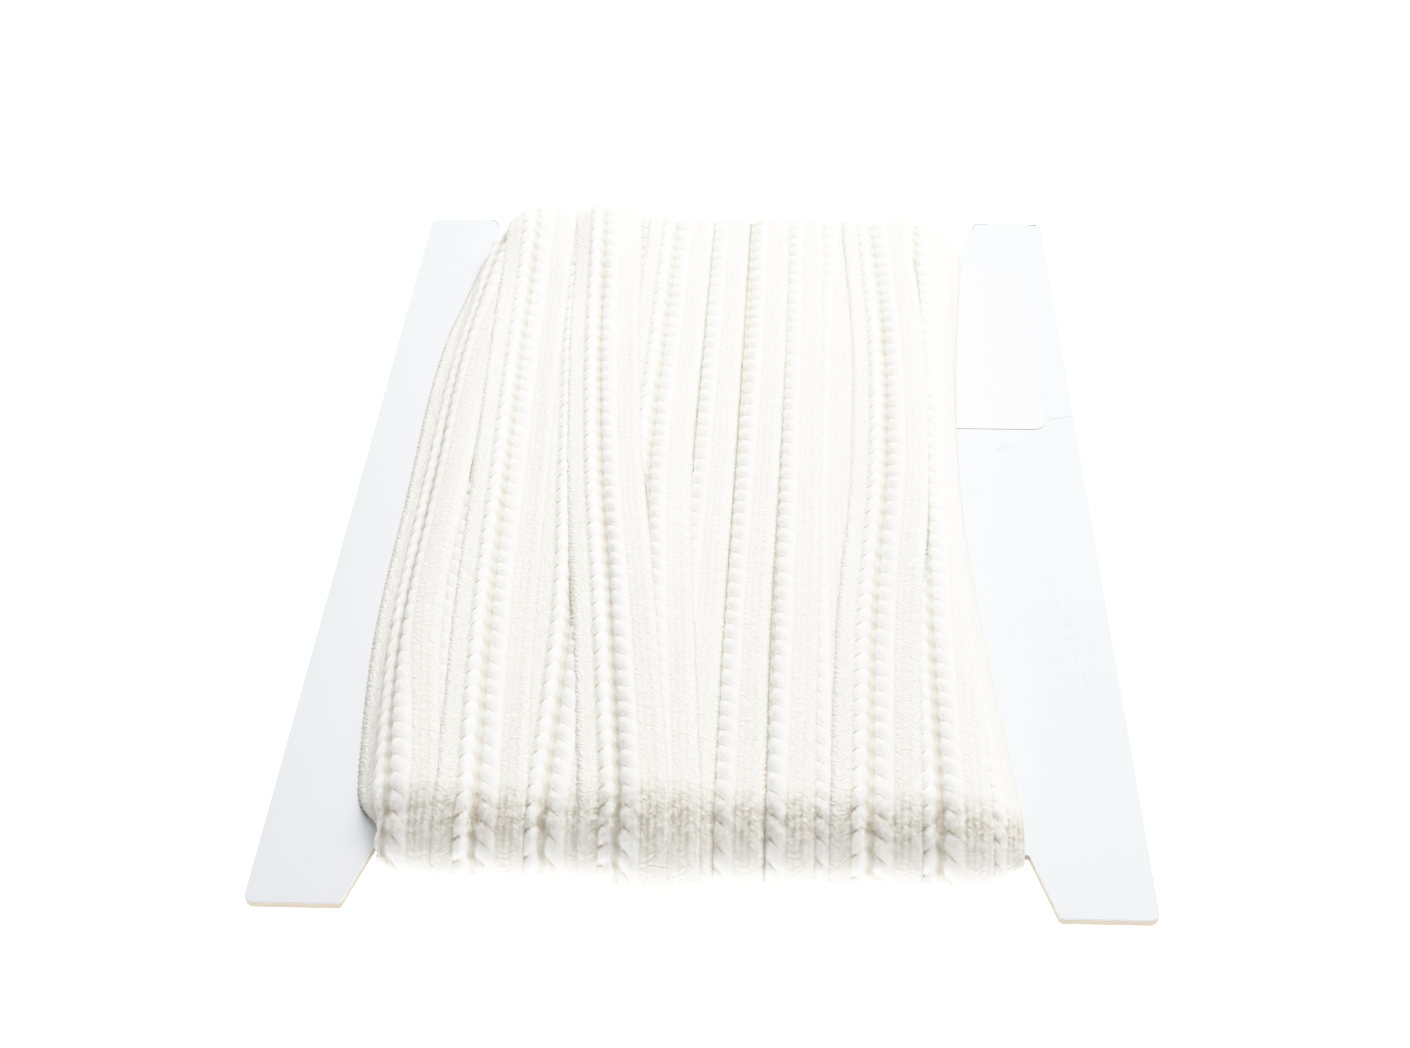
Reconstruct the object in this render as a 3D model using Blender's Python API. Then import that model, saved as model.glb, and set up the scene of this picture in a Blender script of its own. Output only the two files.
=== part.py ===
"""Upholstery trimming: a corded braid wound in overlapping turns round a notched board card.

The card lies level, held a little above the surface by the turns that pass under it.
Sizes are in millimetres and become metres when a mesh is made. +Z is up, +Y is away from
the viewer, and the origin is on the surface, below the middle of the card.
"""

import math
from collections import namedtuple

import bpy

MM = 0.001

# Driving sizes of the card
CARD_WIDTH = 160.0
CARD_LENGTH = 234.0
CARD_THICK = 1.5
CARD_CORNER_RADIUS = 2.0
NOTCH_DEPTH = 14.5
NOTCH_MOUTH_HALF = 62.7
NOTCH_FOOT_HALF = 58.5

# Driving sizes of the winding
UNDER_THICK = 8.5
OVER_THICK = 9.3
FOLD_REACH_NEAR = 7.0
FOLD_REACH_FAR = 8.5
FOLD_REACH_EDGE = 1.4
EDGE_THICK = 0.5
GAP = 0.3
BRAID_WIDTH = 17.4
BRAID_GROOVE = 7.8
EVEN_LEVEL = 1.0
LEVEL_STEP = 0.9
VALLEY_DEPTH = 1.3
LEFT_RUN = 12.5
RIGHT_RUN = 7.5
END_RUN = 5.5
END_RUN_FROM = 0.75
LEFT_ROUNDNESS = 1.5
RIGHT_ROUNDNESS = 2.0
UNDER_BULGE = 0.5

# Driving sizes of the sticker
STICKER_NEAR = 26.0
STICKER_FAR = 94.0
STICKER_RIGHT = 73.3
STICKER_THICK = 0.4
STICKER_CORNER_RADIUS = 3.0
STICKER_EDGE_POINTS = 6

# Heights and lengths worked out from the driving sizes
CARD_BOTTOM = UNDER_THICK
CARD_MIDDLE = CARD_BOTTOM + CARD_THICK / 2
CARD_TOP = CARD_BOTTOM + CARD_THICK
NOTCH_LINE = CARD_LENGTH / 2 - NOTCH_DEPTH

# Places along the card where the tables below give a value, from the far end to the near end
TABLE_Y = (100.0, 50.0, 0.0, -50.0, -100.0)

# The turns that show on top, from left to right. Level says how far a turn rides above its
# neighbours, and the other columns are the middle of its two bead rows at each place.
Turn = namedtuple("Turn", "name level far upper middle lower near")
TURNS = (
    Turn("edge", 0.4, -55.6, -61.0, -61.6, -61.0, -56.2),
    Turn("second", 0.0, -53.4, -56.4, -54.4, -54.4, -50.5),
    Turn("proud left", 1.2, -48.7, -47.9, -46.0, -43.9, -40.3),
    Turn("under", 0.2, -37.0, -35.0, -31.6, -28.2, -28.0),
    Turn("proud slanting", 1.8, -32.2, -29.8, -25.8, -20.0, -14.6),
    Turn("tucked", 0.6, -23.0, -22.6, -18.2, -12.8, -9.4),
    Turn("fourth", 0.9, -14.0, -14.7, -15.2, -12.6, -9.0),
    Turn("fifth", 0.8, -4.9, -5.5, -6.1, -6.9, -7.2),
    Turn("sixth", 0.7, 5.1, 4.6, 3.6, 2.3, 1.9),
    Turn("seventh", 0.6, 13.9, 13.6, 12.9, 12.1, 11.1),
    Turn("eighth", 0.2, 22.9, 20.6, 19.4, 19.2, 19.6),
    Turn("proud right", 1.3, 35.0, 36.6, 35.6, 32.0, 30.2),
    Turn("ninth", 0.6, 46.2, 45.0, 44.1, 42.9, 42.6),
    Turn("last", 0.0, 50.4, 48.4, 46.6, 48.0, 50.4),
)

# The two sides of the winding where it lies on the card
LEFT_SIDE = (-65.0, -69.4, -69.2, -68.6, -64.0)
RIGHT_SIDE = (58.6, 54.2, 52.4, 54.6, 58.6)
NOTCH_SIDE = 58.0
NOTCH_EASE = 14.0

# How many stations each straight run and each fold has, and how much closer they lie at its ends
STRAIGHT_STATIONS = 18
FOLD_STATIONS = 8
END_CROWDING = 0.6

# Points across one turn, from one gap to the next, and their share of the valley's depth
Across = namedtuple("Across", "share drop")
ACROSS = (Across(0.0, 1.0), Across(0.2, 0.05), Across(0.5, 0.1), Across(0.84, 0.3))
NARROW_TURN = 5.0

# Underneath, the turns are pressed flat and only the gaps between them stay open
UNDER_PRESS = 0.5


def clear_scene():
    """Removes whatever the file held before."""
    for old in list(bpy.data.objects):
        bpy.data.objects.remove(old, do_unlink=True)


def make_material(name, colour, roughness):
    """A plain Principled material for one sub-part."""
    material = bpy.data.materials.new(name)
    material.use_nodes = True
    shader = material.node_tree.nodes["Principled BSDF"]
    shader.inputs["Base Color"].default_value = (*colour, 1.0)
    shader.inputs["Roughness"].default_value = roughness
    shader.inputs["Metallic"].default_value = 0.0
    return material


def smooth_step(value):
    """Eases a share from 0 to 1."""
    share = min(max(value, 0.0), 1.0)
    return share * share * (3.0 - 2.0 * share)


def between(values, y):
    """Reads a table row at y with a smooth curve through its places."""
    step = TABLE_Y[0] - TABLE_Y[1]
    place = min(max((TABLE_Y[0] - y) / step, 0.0), len(values) - 1.0)
    index = min(int(place), len(values) - 2)
    share = place - index
    start, end = values[index], values[index + 1]
    before = values[index - 1] if index > 0 else 2 * start - end
    after = values[index + 2] if index + 2 < len(values) else 2 * end - start
    slope_in, slope_out = (end - before) / 2, (after - start) / 2
    bend = (3 * (end - start) - 2 * slope_in - slope_out) * share ** 2
    twist = (slope_in + slope_out - 2 * (end - start)) * share ** 3
    return start + slope_in * share + bend + twist


def arc_corner(centre, radius, start_degrees, steps=4):
    """Points of a quarter turn, anticlockwise."""
    points = []
    for step in range(steps + 1):
        angle = math.radians(start_degrees + 90.0 * step / steps)
        points.append((centre[0] + radius * math.cos(angle), centre[1] + radius * math.sin(angle)))
    return points


def flat_plate(name, outline, bottom, thickness, material, home):
    """A flat piece cut from sheet: a filled outline with a thickness."""
    curve = bpy.data.curves.new(name, "CURVE")
    curve.dimensions = "2D"
    curve.fill_mode = "BOTH"
    curve.extrude = thickness / 2 * MM
    spline = curve.splines.new("POLY")
    spline.points.add(len(outline) - 1)
    for point, (x, y) in zip(spline.points, outline):
        point.co = (x * MM, y * MM, 0.0, 1.0)
    spline.use_cyclic_u = True
    curve.materials.append(material)
    plate = bpy.data.objects.new(name, curve)
    plate.location = (0.0, 0.0, (bottom + thickness / 2) * MM)
    home.objects.link(plate)
    return plate


def card_outline():
    """The H of the card: a rectangle with a sloping notch at each end, anticlockwise."""
    half_width, half_length, radius = CARD_WIDTH / 2, CARD_LENGTH / 2, CARD_CORNER_RADIUS
    right_far = arc_corner((half_width - radius, half_length - radius), radius, 0.0)
    right_far += [(NOTCH_MOUTH_HALF, half_length), (NOTCH_FOOT_HALF, NOTCH_LINE)]
    left_far = [(-x, y) for x, y in reversed(right_far)]
    far_half = right_far + left_far
    near_half = [(-x, -y) for x, y in far_half]
    return far_half + near_half


def make_card(material, home):
    """The board that the braid is wound on."""
    return flat_plate("card", card_outline(), CARD_BOTTOM, CARD_THICK, material, home)


def sticker_outline():
    """The sticker's part that shows, with round right corners and its left side along the winding."""
    radius = STICKER_CORNER_RADIUS
    outline = []
    for step in range(STICKER_EDGE_POINTS + 1):
        y = STICKER_FAR + (STICKER_NEAR - STICKER_FAR) * step / STICKER_EDGE_POINTS
        outline.append((side_at(RIGHT_SIDE, NOTCH_SIDE, y) + 2 * GAP, y))
    outline += arc_corner((STICKER_RIGHT - radius, STICKER_NEAR + radius), radius, -90.0)
    outline += arc_corner((STICKER_RIGHT - radius, STICKER_FAR - radius), radius, 0.0)
    return outline


def make_sticker(material, home):
    """A bare sticker on the right side of the card."""
    bottom = CARD_TOP + GAP
    return flat_plate("sticker", sticker_outline(), bottom, STICKER_THICK, material, home)


def straight_place(share):
    """The y of a share of the way from the far end to the near end, closer together at the ends."""
    even = 1.0 - 2.0 * share
    crowded = math.sin(math.pi / 2 * even)
    return NOTCH_LINE * (even + (crowded - even) * END_CROWDING)


def loop_stations():
    """Places round the winding: the top from far to near, the near fold, underneath, the far fold.

    Each is (part, y or angle in degrees, share of the way along its part).
    """
    stations = []
    for step in range(STRAIGHT_STATIONS + 1):
        share = step / STRAIGHT_STATIONS
        stations.append(("top", straight_place(share), share))
    for step in range(1, FOLD_STATIONS):
        share = step / FOLD_STATIONS
        stations.append(("near", 90.0 - 180.0 * share, share))
    for step in range(STRAIGHT_STATIONS + 1):
        share = step / STRAIGHT_STATIONS
        stations.append(("under", -straight_place(share), share))
    for step in range(1, FOLD_STATIONS):
        share = step / FOLD_STATIONS
        stations.append(("far", -90.0 + 180.0 * share, share))
    return stations


def side_at(sides, notch_side, y, bulge=1.0):
    """One side of the winding at y: its place on the card, drawn in to the notch at each end."""
    swell = (between(sides, y) - notch_side) * bulge
    ease = smooth_step((NOTCH_LINE - abs(y)) / NOTCH_EASE)
    return notch_side + swell * ease


def side_limits(part, place):
    """The winding's left and right sides at one station."""
    if part in ("near", "far"):
        return -NOTCH_SIDE, NOTCH_SIDE
    bulge = 1.0 if part == "top" else UNDER_BULGE
    left = side_at(LEFT_SIDE, -NOTCH_SIDE, place, bulge)
    right = side_at(RIGHT_SIDE, NOTCH_SIDE, place, bulge)
    return left, right


def row_at(turn, part, place, share):
    """The middle of a turn's bead rows at one station."""
    if part == "top":
        return between((turn.far, turn.upper, turn.middle, turn.lower, turn.near), place)
    if part == "near":
        return turn.near
    if part == "under":
        return turn.near + (turn.far - turn.near) * smooth_step(share)
    return turn.far


def gap_lines(part, place, share):
    """Where one turn ends and the next begins, the two sides included."""
    left, right = side_limits(part, place)
    rows = [row_at(turn, part, place, share) for turn in TURNS]
    lines = [left]
    for index in range(1, len(TURNS)):
        if TURNS[index].level > TURNS[index - 1].level:
            line = rows[index] - BRAID_GROOVE
        else:
            line = rows[index - 1] + BRAID_WIDTH - BRAID_GROOVE
        lines.append(line)
    lines.append(right)
    return spread(lines)


def spread(lines, least=0.8):
    """Keeps neighbouring lines a little apart and inside the two sides."""
    for index in range(1, len(lines) - 1):
        lines[index] = max(lines[index], lines[index - 1] + least)
    for index in range(len(lines) - 2, 0, -1):
        lines[index] = min(lines[index], lines[index + 1] - least)
    return lines


def side_run(run, part, place):
    """How far in from its side the winding reaches its full thickness."""
    if part in ("near", "far"):
        return END_RUN
    ease = smooth_step((abs(place) / NOTCH_LINE - END_RUN_FROM) / (1.0 - END_RUN_FROM))
    return run + (END_RUN - run) * ease


def rise(x, limits, part, place):
    """The winding's share of its full thickness at x: 0 at its sides and 1 inside them."""
    from_left = (x - limits[0]) / side_run(LEFT_RUN, part, place)
    from_right = (limits[1] - x) / side_run(RIGHT_RUN, part, place)
    left = 1.0 - (1.0 - min(max(from_left, 0.0), 1.0)) ** LEFT_ROUNDNESS
    right = 1.0 - (1.0 - min(max(from_right, 0.0), 1.0)) ** RIGHT_ROUNDNESS
    return min(left, right)


def skin_point(x, lift, dip, limits, station):
    """A point of the winding's skin at x, lifted from the even surface on top and by dip underneath."""
    part, place, _ = station
    share = rise(x, limits, part, place)
    if part == "top":
        height = GAP + EDGE_THICK + (OVER_THICK - GAP - EDGE_THICK + lift) * share
        return x, place, CARD_TOP + height
    if part == "under":
        height = GAP + EDGE_THICK + (UNDER_THICK + UNDER_PRESS - GAP - EDGE_THICK + dip) * share
        return x, place, max(0.0, CARD_BOTTOM - height)
    angle = math.radians(place)
    up = math.sin(angle)
    blend = (1.0 + up) / 2
    thick = OVER_THICK + lift if up > 0.0 else UNDER_THICK + dip
    reach = FOLD_REACH_NEAR if part == "near" else FOLD_REACH_FAR
    away = FOLD_REACH_EDGE + (reach + dip + (lift - dip) * blend - FOLD_REACH_EDGE) * share
    tall = CARD_THICK / 2 + GAP + EDGE_THICK + (thick - GAP - EDGE_THICK) * share
    side = -1.0 if part == "near" else 1.0
    y = side * (NOTCH_LINE + away * math.cos(angle))
    return x, y, max(0.0, CARD_MIDDLE + tall * up)


def skin_ring(station):
    """All points of the skin across the winding at one station, from left to right."""
    part, place, share = station
    limits = side_limits(part, place)
    lines = gap_lines(part, place, share)
    ring = []
    for index, turn in enumerate(TURNS):
        start, end = lines[index], lines[index + 1]
        for across in ACROSS:
            dip = -across.drop * VALLEY_DEPTH * min(1.0, (end - start) / NARROW_TURN)
            lift = (turn.level - EVEN_LEVEL) * LEVEL_STEP + dip
            x = start + (end - start) * across.share
            ring.append(skin_point(x, lift, dip, limits, station))
    ring.append(skin_point(limits[1], 0.0, 0.0, limits, station))
    return ring


def tunnel_point(x, station):
    """The point inside the winding, next to the card, that faces a point of the skin's side."""
    part, place, share = station
    wall = NOTCH_LINE + GAP
    low, high = CARD_BOTTOM - GAP, CARD_TOP + GAP
    if part == "top":
        return x, place / NOTCH_LINE * wall, high
    if part == "under":
        return x, place / NOTCH_LINE * wall, low
    if part == "near":
        return x, -wall, high + (low - high) * share
    return x, wall, low + (high - low) * share


def make_winding(material, home):
    """The wound braid: a ring of turns through which the card's waist passes."""
    stations = loop_stations()
    rings = [skin_ring(station) for station in stations]
    columns = len(rings[0])
    points = [point for ring in rings for point in ring]
    inner_start = len(points)
    for ring, station in zip(rings, stations):
        points.append(tunnel_point(ring[0][0], station))
        points.append(tunnel_point(ring[-1][0], station))

    faces = []
    count = len(stations)
    for here in range(count):
        there = (here + 1) % count
        for column in range(columns - 1):
            corner = here * columns + column
            across = there * columns + column
            faces.append((corner, across, across + 1, corner + 1))
        left_here, left_there = inner_start + 2 * here, inner_start + 2 * there
        right_here, right_there = left_here + 1, left_there + 1
        faces.append((here * columns, left_here, left_there, there * columns))
        last_here, last_there = (here + 1) * columns - 1, (there + 1) * columns - 1
        faces.append((last_here, last_there, right_there, right_here))
        faces.append((left_here, right_here, right_there, left_there))

    mesh = bpy.data.meshes.new("winding")
    mesh.from_pydata([(x * MM, y * MM, z * MM) for x, y, z in points], [], faces)
    mesh.materials.append(material)
    winding = bpy.data.objects.new("winding", mesh)
    home.objects.link(winding)
    mesh.shade_smooth()
    mesh.set_sharp_from_angle(angle=math.radians(50.0))
    return winding


def main():
    clear_scene()
    home = bpy.data.collections.new("trimming_braid_on_card")
    bpy.context.scene.collection.children.link(home)
    board = make_material("white board", (0.90, 0.91, 0.93), 0.55)
    braid = make_material("ivory braid", (0.89, 0.86, 0.79), 0.9)
    paper = make_material("sticker paper", (0.92, 0.92, 0.91), 0.4)
    make_card(board, home)
    make_winding(braid, home)
    make_sticker(paper, home)


main()
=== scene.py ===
import math
from collections import namedtuple

import bmesh
import bpy
import numpy as np
from mathutils import Matrix, Vector


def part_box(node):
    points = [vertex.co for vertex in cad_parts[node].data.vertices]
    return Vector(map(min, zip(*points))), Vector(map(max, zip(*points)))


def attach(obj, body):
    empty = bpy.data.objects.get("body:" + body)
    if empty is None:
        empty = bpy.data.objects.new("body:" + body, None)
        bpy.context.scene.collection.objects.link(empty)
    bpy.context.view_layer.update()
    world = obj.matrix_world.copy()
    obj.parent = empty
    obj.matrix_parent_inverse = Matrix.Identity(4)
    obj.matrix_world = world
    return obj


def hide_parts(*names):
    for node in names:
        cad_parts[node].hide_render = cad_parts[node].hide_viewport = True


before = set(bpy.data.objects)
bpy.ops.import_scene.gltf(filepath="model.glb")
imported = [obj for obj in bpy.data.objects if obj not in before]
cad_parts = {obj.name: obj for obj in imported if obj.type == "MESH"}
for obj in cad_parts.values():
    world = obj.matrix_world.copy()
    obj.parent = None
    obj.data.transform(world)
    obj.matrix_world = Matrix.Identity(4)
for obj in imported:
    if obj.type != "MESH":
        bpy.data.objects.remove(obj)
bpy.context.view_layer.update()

bl_info = {
    "name": "Trimming braid on a card",
    "version": (1, 0, 0),
    "blender": (4, 5, 0),
    "location": "3D View > Sidebar > Trimming",
    "description": "An ivory corded braid wound in overlapping turns round a notched board card",
    "category": "Add Mesh",
}

MM = 0.001

# Down to the lamp, lengths are in millimetres, apart from the corners that the frame gives
CARD_LOW, CARD_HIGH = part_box("card")
CARD_BOTTOM = CARD_LOW.z / MM
CARD_TOP = CARD_HIGH.z / MM
CARD_MIDDLE = (CARD_BOTTOM + CARD_TOP) / 2
CARD_HALF_WIDTH = CARD_HIGH.x / MM
CARD_HALF_LENGTH = CARD_HIGH.y / MM
STICKER_LOW, STICKER_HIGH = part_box("sticker")

# The notches, as the part's source has them
NOTCH_DEPTH = 14.5
NOTCH_MOUTH_HALF = 62.7
NOTCH_FOOT_HALF = 58.5
NOTCH_LINE = CARD_HALF_LENGTH - NOTCH_DEPTH
MOUTH_ROUND = 0.6
CUT_BEYOND = 5.0

# The turns that show on top, from left to right, as the part's source has them. Level says which
# turn lies over which, and the other columns are the x of the groove between its two bead rows.
TABLE_Y = (100.0, 50.0, 0.0, -50.0, -100.0)
Turn = namedtuple("Turn", "name level far upper middle lower near")
TURNS = (
    Turn("edge", 0.4, -55.8, -61.0, -61.6, -61.0, -55.8),
    Turn("second", 0.0, -53.4, -56.4, -54.4, -54.4, -50.5),
    Turn("proud_left", 1.2, -48.7, -47.9, -46.0, -43.9, -40.3),
    Turn("under", 0.2, -37.0, -35.0, -31.6, -28.2, -28.0),
    Turn("slanting", 1.8, -32.2, -29.8, -25.8, -20.0, -14.6),
    Turn("tucked", 0.6, -23.0, -22.6, -18.2, -12.8, -9.4),
    Turn("fourth", 0.9, -14.0, -14.7, -15.2, -12.6, -9.0),
    Turn("fifth", 0.8, -4.9, -5.5, -6.1, -6.9, -7.2),
    Turn("sixth", 0.7, 5.1, 4.6, 3.6, 2.3, 1.9),
    Turn("seventh", 0.6, 13.9, 13.6, 12.9, 12.1, 11.1),
    Turn("eighth", 0.2, 22.9, 20.6, 19.4, 19.2, 19.6),
    Turn("proud_right", 1.3, 35.0, 36.6, 35.6, 32.0, 30.2),
    Turn("ninth", 0.6, 46.2, 45.0, 44.1, 42.9, 42.6),
    Turn("last", 0.0, 50.4, 48.4, 46.6, 48.0, 50.4),
)

# The two sides of the winding at the same places, and where they meet the notches
LEFT_SIDE = (-65.0, -69.4, -69.2, -68.6, -64.0)
RIGHT_SIDE = (58.6, 54.2, 52.4, 54.6, 58.6)
NOTCH_SIDE = 58.0
NOTCH_EASE = 9.0

# Turns that stand up or lie low towards the far end
HUMPS = {
    "edge": 0.2, "second": 0.5, "proud_left": 2.3, "under": 1.5,
    "slanting": 1.5, "tucked": 0.6, "last": -0.8,
}
HUMP_FROM = 62.0
HUMP_RUN = 35.0
HUMP_EASE = 5.0

# The bed that the outer turns lie on: the inner turns, not seen one by one. It stands over and
# under the card and reaches past the notches, each fold round its own radius.
BED_OVER = 7.3
BED_UNDER = 6.9
BED_FOOT = 0.1
BED_REACH_NEAR = 5.0
BED_REACH_FAR = 5.9
BED_REACH_EDGE = 0.6
ROUND_NEAR = 7.0
ROUND_FAR = 2.0
CARD_CLEAR = 0.1

# How the bed rises from its sides, over a longer run where the winding bulges
LEFT_RUN = 13.0
RIGHT_RUN = 7.5
END_RUN = 3.0
FULL_BULGE = 11.3
UNDER_BULGE = 0.5
SHOULDER = 0.3
SHOULDER_RUN = 15.0
LEFT_FOOT = 1.5
END_FOOT = 0.7
RIGHT_ROUNDNESS = 2.2
UNDER_RAISE = 2.4
UNDER_RAISE_FROM = 84.0
UNDER_RAISE_RUN = 18.0

# How a turn lies: clear of the bed's sides, wider where it has room, pressed under the turns over
# it, filling deep gaps, and flat on what the winding stands on
EDGE_CLEAR = 0.3
WIDEST = 1.25
COVERED = 0.3
DEEPEST = 0.55
REST_SOFTNESS = 0.5

# How far steps in what a turn lies on, in its room and in what covers it are eased, in samples,
# and how deep it may sink into a step
DRAPE_ACROSS = 3.5
DRAPE_ALONG = 5.0
ROOM_EASE = 8.0
AROUND_EASE = 3.0
SINK = 0.15

# Places across the braid, from its left edge
LEFT_STRIP_END = 4.3
LEFT_BEADS = 5.5
LEFT_BEADS_HALF = 1.2
CORD_LINE = 6.8
GROOVE_HALF = 0.6
LUMPS = 8.85
RIGHT_BEADS = 10.35
RIGHT_BEADS_HALF = 1.4
SHADOW_LINE = 11.75
RIGHT_STRIP_START = 11.9
RIBS_FROM = 12.55
RIB_STEP = 1.3
STITCH_COLUMN = 2.15
RIB_COLUMN = 1.375
COLUMNS = (0.0, 0.25, 0.8, 1.5, 2.2, 2.9, 3.6, 4.2, 4.6, 5.0, 5.45, 5.9, 6.35, 6.8, 7.15, 7.5,
           7.8, 8.15, 8.5, 8.9, 9.3, 9.8, 10.3, 10.8, 11.3, 11.7, 12.1, 12.55, 13.2, 13.85,
           14.5, 15.15, 15.8, 16.45, 16.95, 17.25, 17.4)
BACK_COLUMNS = (17.0, 13.0, 9.0, 5.0, 0.4)
GROOVE_COLUMN = COLUMNS.index(7.8)

# Relief of the braid's face over its strips, and how the beads lean along it
EDGE_ROUND = 1.7
EDGE_HALF = 0.5
EDGE_DROOP = 0.35
EDGE_WAVE = -0.4
EDGE_SCALLOP = 0.15
STITCH_SWELL = 0.12
GROOVE_DEEP = 0.35
GROOVE_WANDER = 0.18
CORD_LINE_RISE = 0.1
SHADOW_LINE_DEEP = 0.06
RIB_RISE = 0.2
LUMP_RISE = 0.4
LEFT_BEADS_LEAN = 0.8
RIGHT_BEADS_LEAN = 1.1
RIGHT_BEADS_SHARE = 0.55

# Painted shade: how much the yarn's colour is darkened in the hollows of a face, beside higher
# turns and at its two edges, and the depths at which the first two are at their darkest
HOLLOW_SHADE = 0.4
HOLLOW_DEPTH = 0.35
BESIDE_SHADE = 0.18
BESIDE_DEPTH = 1.2
EDGE_SHADE = 0.25

# Painted shade over the near fold, patchy and deeper in its hollows, placed by angle
FOLD_SHADE = 0.95
FOLD_SHADE_AT = 1.0
FOLD_SHADE_WIDE = 0.42

# Spacing of the cross-sections, of the bed's columns, and of what is drawn of the bed
TOP_STEP = 0.5
UNDER_STEP = 0.75
BED_COLUMNS = 281
INNER_STEP = 3.0
INNER_MARGIN = 4
INNER_STRIDE = 4
INNER_CLEAR = 0.3
INNER_DROP = 0.45
INNER_RIB = 0.2
INNER_RIB_STEP = 2.2

# Marks on the card: from x, y to x, y, then half width and strength
MARKS = (
    (74.6, 30.2, 79.4, 31.3, 0.24, 0.5),
    (61.6, 18.4, 64.6, 19.4, 0.6, 0.2),
    (63.2, 20.2, 66.0, 19.8, 0.4, 0.15),
    (55.8, 3.6, 56.6, 1.8, 0.35, 0.12),
    (56.6, 1.8, 57.6, 4.0, 0.35, 0.12),
    (68.6, -27.0, 70.8, -37.0, 0.3, 0.12),
    (70.6, -36.0, 73.8, -46.5, 0.3, 0.12),
    (72.0, -50.0, 73.6, -58.0, 0.35, 0.1),
    (61.9, 113.8, 62.9, 116.8, 0.3, 0.9),
    (62.9, 116.8, 66.4, 116.9, 0.5, 1.0),
    (76.6, 116.8, 78.6, 116.4, 0.5, 1.0),
    (-64.4, 116.9, -62.8, 116.7, 0.5, 1.0),
    (-62.8, 116.7, -61.8, 113.4, 0.3, 0.7),
)
SMUDGE_AT = (70.0, -42.0, 10.0)
SMUDGE_SIZE = 15.0
SMUDGE_SHADE = 0.07

# The sticker lies on the card and runs on under the braid
STICKER_LIFT = 0.02
STICKER_HIDDEN = 6.0

# How bright tones roll off to white: brightness in the scene and in the picture
WHITE_LEVEL = 2.9
HIGHLIGHT_CURVE = ((0.6, 0.6), (0.8, 0.8), (0.95, 0.905), (1.1, 0.965), (1.25, 0.995), (1.45, 1.0))

# The lamp, the floor and the camera, in metres and degrees. The lens and sensor are in
# millimetres, and the camera is fitted to the card's corners.
LAMP_PLACE = (0.23, 0.54, 0.80)
LAMP_AIM = (0.02, 0.0, 0.0)
LAMP_SIZE = (0.9, 0.7)
FLOOR_SIZE = 60.0
FLOOR_Z = -0.0003
CAMERA_PLACE = (0.01397, -0.35003, 0.28470)
CAMERA_PITCH = 38.882
CAMERA_YAW = -2.836
CAMERA_ROLL = -0.977
CAMERA_LENS = 52.0
CAMERA_SENSOR = 36.0


class BraidSettings(bpy.types.PropertyGroup):
    """Sizes of the braid in millimetres, and its colours."""
    width: bpy.props.FloatProperty(
        name="Width", description="Width of the braid, in millimetres", default=17.4)
    bead_pitch: bpy.props.FloatProperty(
        name="Bead pitch", description="Length of one bead, in millimetres", default=4.35)
    groove: bpy.props.FloatProperty(
        name="Groove", description="From the left edge to the groove, in millimetres", default=7.8)
    strip_thick: bpy.props.FloatProperty(
        name="Strip thickness", description="Thickness of the strips, in millimetres", default=0.8)
    bead_rise: bpy.props.FloatProperty(
        name="Bead rise", description="Height of beads over cords, in millimetres", default=0.8)
    cord_rise: bpy.props.FloatProperty(
        name="Cord rise", description="Height of cords over strips, in millimetres", default=0.2)
    jitter: bpy.props.FloatProperty(
        name="Unevenness", description="How uneven the beads are", default=0.1)
    yarn: bpy.props.FloatVectorProperty(
        name="Yarn", description="Colour of the yarn", subtype="COLOR",
        default=(0.975, 0.973, 0.95))
    # Colour of the painted shade in crevices, beside higher turns and at the edges; also the colour of
    # fine specks of fuzz and of the inner turns' painted shade
    painted_shade: bpy.props.FloatVectorProperty(
        name="Crevices", description="Colour deep between the yarns", subtype="COLOR",
        default=(0.68, 0.54, 0.37))
    # Colour of the painted shade in the notches, along the groove, in the hollows between stitches and
    # across the near fold
    dark_shade: bpy.props.FloatVectorProperty(
        name="Dots", description="Colour between the beads", subtype="COLOR",
        default=(0.50, 0.45, 0.335))


class CardSettings(bpy.types.PropertyGroup):
    """Sizes and colours of the card and its sticker."""
    corner: bpy.props.FloatProperty(
        name="Corner radius", description="Radius of the card's corners", default=0.002,
        unit="LENGTH")
    facing: bpy.props.FloatProperty(
        name="Facing", description="Thickness of the white facing paper", default=0.00022,
        unit="LENGTH")
    rim: bpy.props.FloatProperty(
        name="Rim", description="Rounding of the card's rims", default=0.00012, unit="LENGTH")
    paper_thick: bpy.props.FloatProperty(
        name="Paper", description="Thickness of the sticker", default=0.00014, unit="LENGTH")
    sticker_corner: bpy.props.FloatProperty(
        name="Sticker corner", description="Radius of the sticker's corners", default=0.003,
        unit="LENGTH")
    white: bpy.props.FloatVectorProperty(
        name="White", description="Colour of the facing paper", subtype="COLOR",
        default=(0.795, 0.805, 0.84))
    mark: bpy.props.FloatVectorProperty(
        name="Marks", description="Colour of rubbed marks on the card", subtype="COLOR",
        default=(0.16, 0.17, 0.20))
    core: bpy.props.FloatVectorProperty(
        name="Core", description="Colour of the board's core", subtype="COLOR",
        default=(0.42, 0.37, 0.31))
    paper: bpy.props.FloatVectorProperty(
        name="Sticker paper", description="Colour of the sticker", subtype="COLOR",
        default=(0.815, 0.815, 0.815))


class StageSettings(bpy.types.PropertyGroup):
    """Light and floor."""
    sky: bpy.props.FloatProperty(
        name="Sky", description="Strength of the even light", default=0.365)
    lamp: bpy.props.FloatProperty(
        name="Lamp", description="Power of the large lamp", default=11.6, unit="POWER")
    floor_glow: bpy.props.FloatProperty(
        name="Floor glow", description="How much the floor glows, to stay white", default=2.35)


def smooth_step(value):
    """Eases a share from 0 to 1."""
    share = np.clip(value, 0.0, 1.0)
    return share * share * (3.0 - 2.0 * share)


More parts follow.
